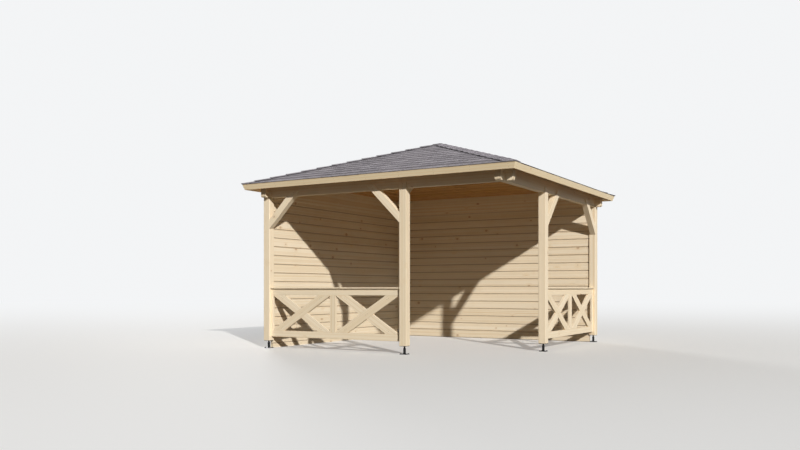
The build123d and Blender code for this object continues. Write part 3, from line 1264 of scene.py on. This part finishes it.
def foot_threads():
    """The threads of the five adjustable feet."""
    mesh = bpy.data.meshes.new("foot_threads")
    points = []
    for node in FEET:
        low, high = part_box(node)
        points.append(((low.x + high.x) / 2, (low.y + high.y) / 2, FOOT_NUT_TOP))
    mesh.from_pydata(points, [], [])
    obj = add_object("foot_threads", mesh)
    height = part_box(FEET[0])[1].z - FOOT_PLATE - FOOT_NUT_TOP
    inputs = {
        "Radius": FOOT_ROD_RADIUS,
        "Turns": height / THREAD_PITCH,
        "Height": height,
        "Depth": THREAD_DEPTH,
    }
    repeat(obj, screw_threads(), "black_steel", inputs)
    seat(obj, "black_steel")


# Floor, light and camera


def directly_seen(builder):
    """1 for what the camera sees, also in gloss and glass, and 0 for light on the gazebo."""
    path = builder.node("ShaderNodeLightPath", output="Is Camera Ray")
    seen = path + path.output("Is Glossy Ray") + path.output("Is Transmission Ray")
    return seen.math("MINIMUM", 1.0)


def floor():
    """A pale floor that fades into the background far from the gazebo."""
    bm = bmesh.new()
    bmesh.ops.create_circle(bm, cap_ends=True, segments=96, radius=FLOOR_RADIUS)
    obj = add_object("floor", mesh_from(bm, "floor"))
    s = Surface("pale_floor")
    seen = directly_seen(s)
    away = s.node("ShaderNodeVectorMath", {"operation": "LENGTH"}, {0: s.point()}, "Value")
    colour = s.mix(seen, FLOOR_IN_LIGHT, FLOOR_SEEN)
    s.tree.links.new(colour.socket, s.shader.inputs["Base Color"])
    s.shader.inputs["Roughness"].default_value = 0.9
    s.shader.inputs["Specular IOR Level"].default_value = 0.1
    glow = s.node("ShaderNodeEmission", {}, {"Color": BACKGROUND, "Strength": 1.0})
    near = s.step(FLOOR_FADE / (away + FLOOR_FADE), 0.20, 0.85)
    fade = (1 - near * 0.74) * seen
    both = s.node("ShaderNodeMixShader", {}, {0: fade, 1: Value(s, s.shader.outputs[0]), 2: glow})
    s.tree.links.new(both.socket, s.tree.nodes["Material Output"].inputs["Surface"])
    obj.data.materials.append(s.material)


def sky():
    """Even light from all round, and a pale background."""
    world = bpy.data.worlds.new("studio")
    world.use_nodes = True
    bpy.context.scene.world = world
    b = Builder(world.node_tree)
    world.node_tree.nodes.clear()
    seen = directly_seen(b)
    even = b.node("ShaderNodeBackground", {}, {"Color": AMBIENT, "Strength": AMBIENT_STRENGTH})
    plain = b.node("ShaderNodeBackground", {}, {"Color": BACKGROUND, "Strength": 1.0})
    both = b.node("ShaderNodeMixShader", {}, {0: seen, 1: even, 2: plain})
    end = world.node_tree.nodes.new("ShaderNodeOutputWorld")
    world.node_tree.links.new(both.socket, end.inputs["Surface"])


def sun(name, towards, strength, width, colour):
    """A far lamp that shines along one direction, softer where it is wide."""
    data = bpy.data.lights.new(name, "SUN")
    data.energy = strength
    data.angle = math.radians(width)
    data.color = colour
    obj = add_object(name, data)
    obj.rotation_euler = Vector(towards).to_track_quat("-Z", "Y").to_euler()


def camera():
    """A level camera at the photograph's place, whose frame is shifted up from the horizon."""
    data = bpy.data.cameras.new("camera")
    data.sensor_width = 36.0
    data.lens = data.sensor_width * FOCAL_PIXELS / PHOTO_WIDTH
    data.shift_y = (HORIZON_ROW - PHOTO_HEIGHT / 2) / PHOTO_WIDTH
    data.clip_end = 300.0
    obj = add_object("camera", data)
    obj.location = CAMERA_PLACE
    obj.rotation_euler = (math.radians(90), 0, math.radians(CAMERA_TURN))
    bpy.context.scene.camera = obj


dress_frame()
wall_boards()
roof_boards()
shingles()
hip_caps()
frame_screws()
railing_screws()
fascia_nails()
foot_bolts()
foot_threads()
floor()
sky()
for lamp, (towards, strength, width, colour) in LAMPS.items():
    sun(lamp, towards, strength, width, colour)
camera()

bpy.context.scene.view_settings.view_transform = "Standard"
